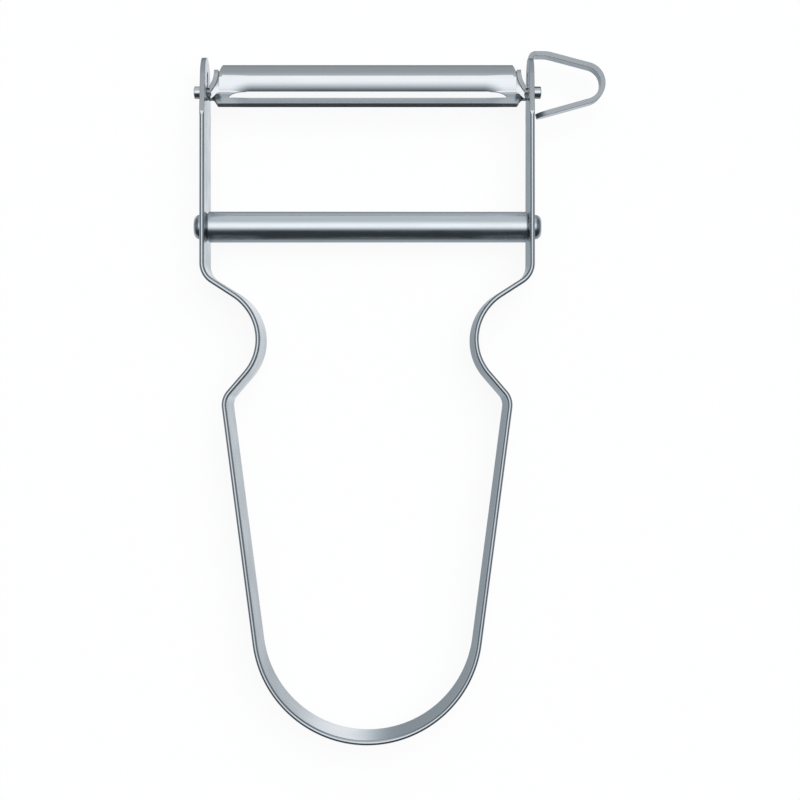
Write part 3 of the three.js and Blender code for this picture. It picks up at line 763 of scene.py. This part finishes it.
for hand, ordered in ((-1, half_rings[::-1]), (1, half_rings)):
    for line, normals in ordered:
        thickness = sheet - (2 * journal_chamfer if line[0].x == journal_end else 0)
        rings.append(range(len(points), len(points) + 2 * len(line), 2))
        for spot, normal in zip(line, normals):
            for side in (1, -1):
                point = spot + normal * side * thickness / 2
                points.append((point.x * hand, pivot.y + point.y, pivot.z + point.z))
# The wing's top faces from here on are marked for the painted shade band
painted_shade_start = min(i for i, spot in enumerate(half_rings[0][0]) if spot.y > wing_top_painted_shade)
fronts, dull = [], []
for ring, ahead in zip(rings, rings[1:]):
    for i in range(min(len(ring), len(ahead)) - 1):
        fronts.append((ring[i], ahead[i], ahead[i + 1], ring[i + 1]))
        on_top = min(points[ring[i]][1], points[ahead[i]][1]) > pivot.y + wing_top_painted_shade - wing_top_ease
        dull.append(1.0 if i >= painted_shade_start and on_top else 0.0)
edges = {(face[i], face[(i + 1) % 4]) for face in fronts for i in range(4)}
rims = [(b, a, a + 1, b + 1) for a, b in sorted(edges) if (b, a) not in edges]
faces = fronts + [tuple(corner + 1 for corner in reversed(face)) for face in fronts] + rims
dull += [0.0] * len(fronts) + [1.0] * len(rims)


def solid(name, points, faces, dull):
    mesh = bpy.data.meshes.new(name)
    mesh.from_pydata(points, [], faces)
    layer = mesh.attributes.new("dull", "FLOAT", "FACE")
    layer.data.foreach_set("value", dull)
    piece = bpy.data.objects.new(name, mesh)
    scene.collection.objects.link(piece)
    return piece


blade = solid("steel_blade", points, faces, dull)

# Slot with a straight lower lip and an upper lip that runs down to it in a long curve at each end
slot_end = 22.65 * MM
slot_curve = 2.55 * MM
slot_bottom = -0.92 * MM
slot_top = 0.25 * MM
slot_steps = 32
slot_outline = []
for step in range(slot_steps + 1):
    angle = math.pi / 2 * step / slot_steps
    slot_outline.append((slot_end - slot_curve * (1 - math.cos(angle)),
                         mix(slot_bottom, slot_top, math.sin(angle))))
slot_outline += [(-x, y) for x, y in reversed(slot_outline)]
count = len(slot_outline)
slot_tool = solid("slot_tool",
                  [(x, pivot.y + y, z) for z in (0, 2 * pivot.z) for x, y in slot_outline],
                  [tuple(reversed(range(count))), tuple(range(count, 2 * count))]
                  + [(i, (i + 1) % count, count + (i + 1) % count, count + i) for i in range(count)],
                  [1.0] * (count + 2))

# Grinding path behind the slot's upper lip, which lifts out of the sheet at both ends
grind_end = 19.6 * MM
grind_run_out = 0.8 * MM
grind_edge = Vector((0.26, -0.45)) * MM
grind_heading = math.radians(-40)
grind_depth = 1.2 * MM
along = Vector((math.cos(grind_heading), math.sin(grind_heading)))
away = Vector((along.y, -along.x))
grind_points = []
lifted_end = grind_end + grind_run_out
for x, lift in ((-lifted_end, sheet), (-grind_end, 0), (grind_end, 0), (lifted_end, sheet)):
    for forth, off in ((-sheet / 2, sheet), (grind_depth, sheet), (grind_depth, 0), (-sheet / 2, 0)):
        corner = grind_edge + along * forth + away * (lift + off)
        grind_points.append((x, pivot.y + corner.x, pivot.z + corner.y))
grind_faces = [(first + i, first + (i + 1) % 4, first + 4 + (i + 1) % 4, first + 4 + i)
               for first in (0, 4, 8) for i in range(4)] + [(3, 2, 1, 0), (12, 13, 14, 15)]
grind_tool = solid("grind_tool", grind_points, grind_faces, [0.0] * len(grind_faces))

for tool in (slot_tool, grind_tool):
    cutting = blade.modifiers.new(tool.name, "BOOLEAN")
    cutting.operation = "DIFFERENCE"
    cutting.solver = "MANIFOLD"
    cutting.object = tool
depsgraph = bpy.context.evaluated_depsgraph_get()
formed = bpy.data.meshes.new_from_object(blade.evaluated_get(depsgraph), preserve_all_data_layers=True,
                                         depsgraph=depsgraph)
blade.modifiers.clear()
blade.data = formed
for tool in (slot_tool, grind_tool):
    bpy.data.objects.remove(tool)
formed.shade_smooth()
formed.set_sharp_from_angle(angle=crisp_angle)
blade_steel = brushed_steel("blade_steel", (0.66, 0.68, 0.69), 0.16, (40, 7000, 7000), 0.3e-6)
formed.materials.clear()
formed.materials.append(blade_steel)
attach(blade, "blade")
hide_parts("blade")
